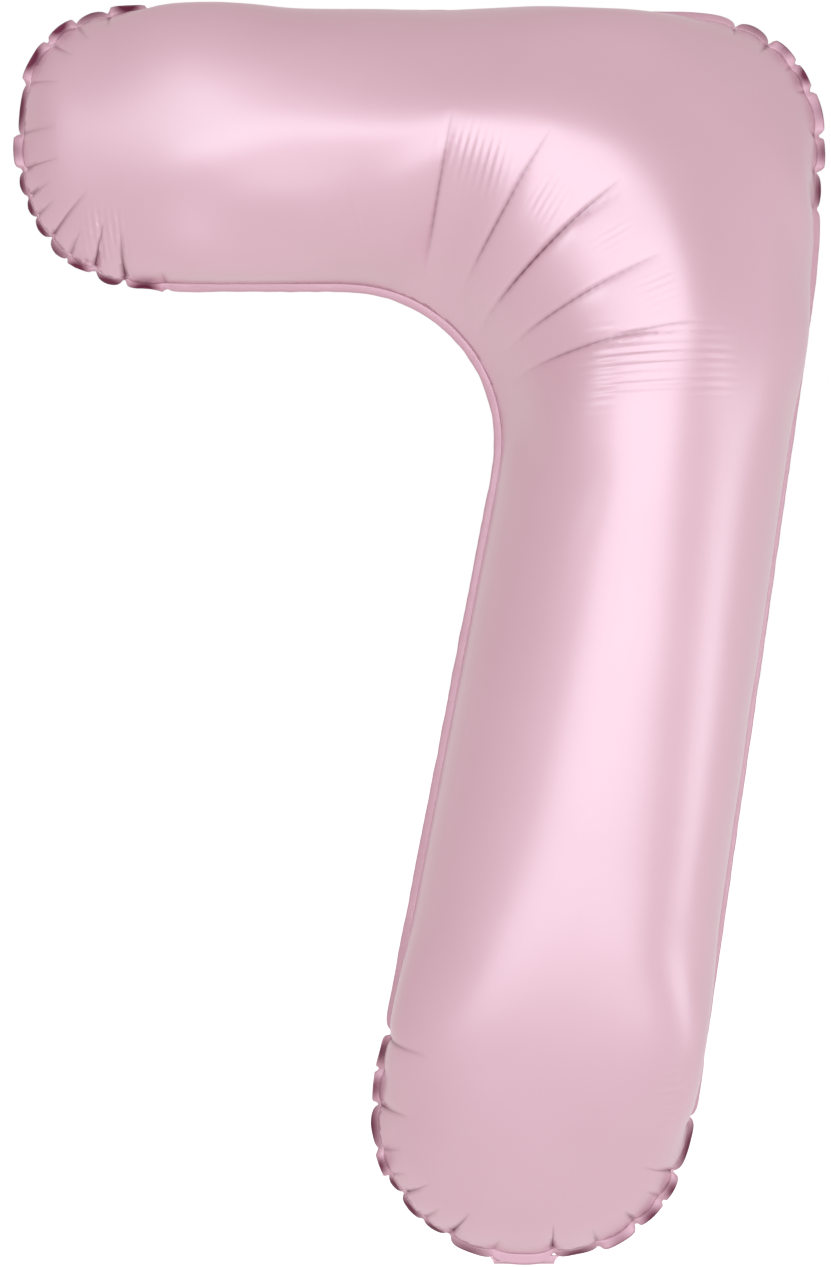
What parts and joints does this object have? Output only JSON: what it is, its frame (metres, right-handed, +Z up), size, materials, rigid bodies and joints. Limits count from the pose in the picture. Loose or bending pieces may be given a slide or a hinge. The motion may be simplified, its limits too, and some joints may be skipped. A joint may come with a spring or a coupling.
{
  "type": "foil number balloon",
  "caption": "Inflated metallised film balloon in the shape of the numeral seven, with a sealed seam flange all round, an internal film valve and a folded filling tail.",
  "frame": {"origin": "middle of the neck, on the seam line at the bottom of the foot, in the plane where the two panels are sealed", "axes": "+Z up from the foot to the bar, +X along the bar towards the outer corner, +Y from the front panel to the back panel"},
  "size_m": [0.5681, 0.2192, 0.8829],
  "materials": {
    "pink_foil": "satin pearl: aluminised polyester film printed pale pink",
    "valve_film": "clear polyethylene film, slightly milky"
  },
  "bodies": {
    "balloon": {"front_panel": "pink_foil", "back_panel": "pink_foil", "valve_front_ply": "valve_film", "valve_back_ply": "valve_film"},
    "tail": {"tail_front_leaf": "pink_foil", "tail_back_leaf": "pink_foil"}
  },
  "joints": [
    {"name": "tail_fold", "type": "hinge", "parent": "balloon", "child": "tail", "pos_m": [0, 0, -0.0093], "axis": [-1, 0, 0], "range_deg": [0, 150]}
  ]
}
